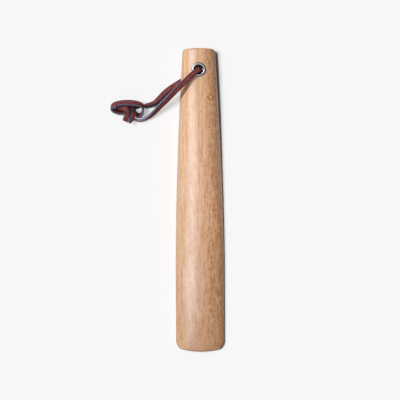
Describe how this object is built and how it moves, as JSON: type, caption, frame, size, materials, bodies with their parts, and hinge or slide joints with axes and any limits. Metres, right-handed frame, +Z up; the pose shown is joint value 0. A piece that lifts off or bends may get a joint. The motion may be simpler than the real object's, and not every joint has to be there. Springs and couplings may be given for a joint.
{
  "type": "shoe horn",
  "caption": "Short wooden shoe horn with a hollowed blade, a metal eyelet through the handle and a knotted flat leather lace to hang it by.",
  "frame": {"origin": "on the table under the middle of the horn, which lies on the rims of its blade with the hollow face down", "axes": "+Y along the horn from the blade's tip to the handle's end, +Z up through the crown, +X to the right seen from above"},
  "size_m": [0.0892, 0.24, 0.0183],
  "materials": {
    "beech": "satin lacquer",
    "steel": "polished",
    "leather": "waxed"
  },
  "bodies": {
    "horn": {"horn": "beech", "front_eyelet": "steel", "rear_eyelet": "steel"},
    "lace": {"lace": "leather"}
  },
  "joints": [
    {"name": "lace_swing", "type": "hinge", "parent": "horn", "child": "lace", "pos_m": [0, 0.103, 0.01], "axis": [0, 0, 1], "range_deg": [-260, 15]}
  ]
}
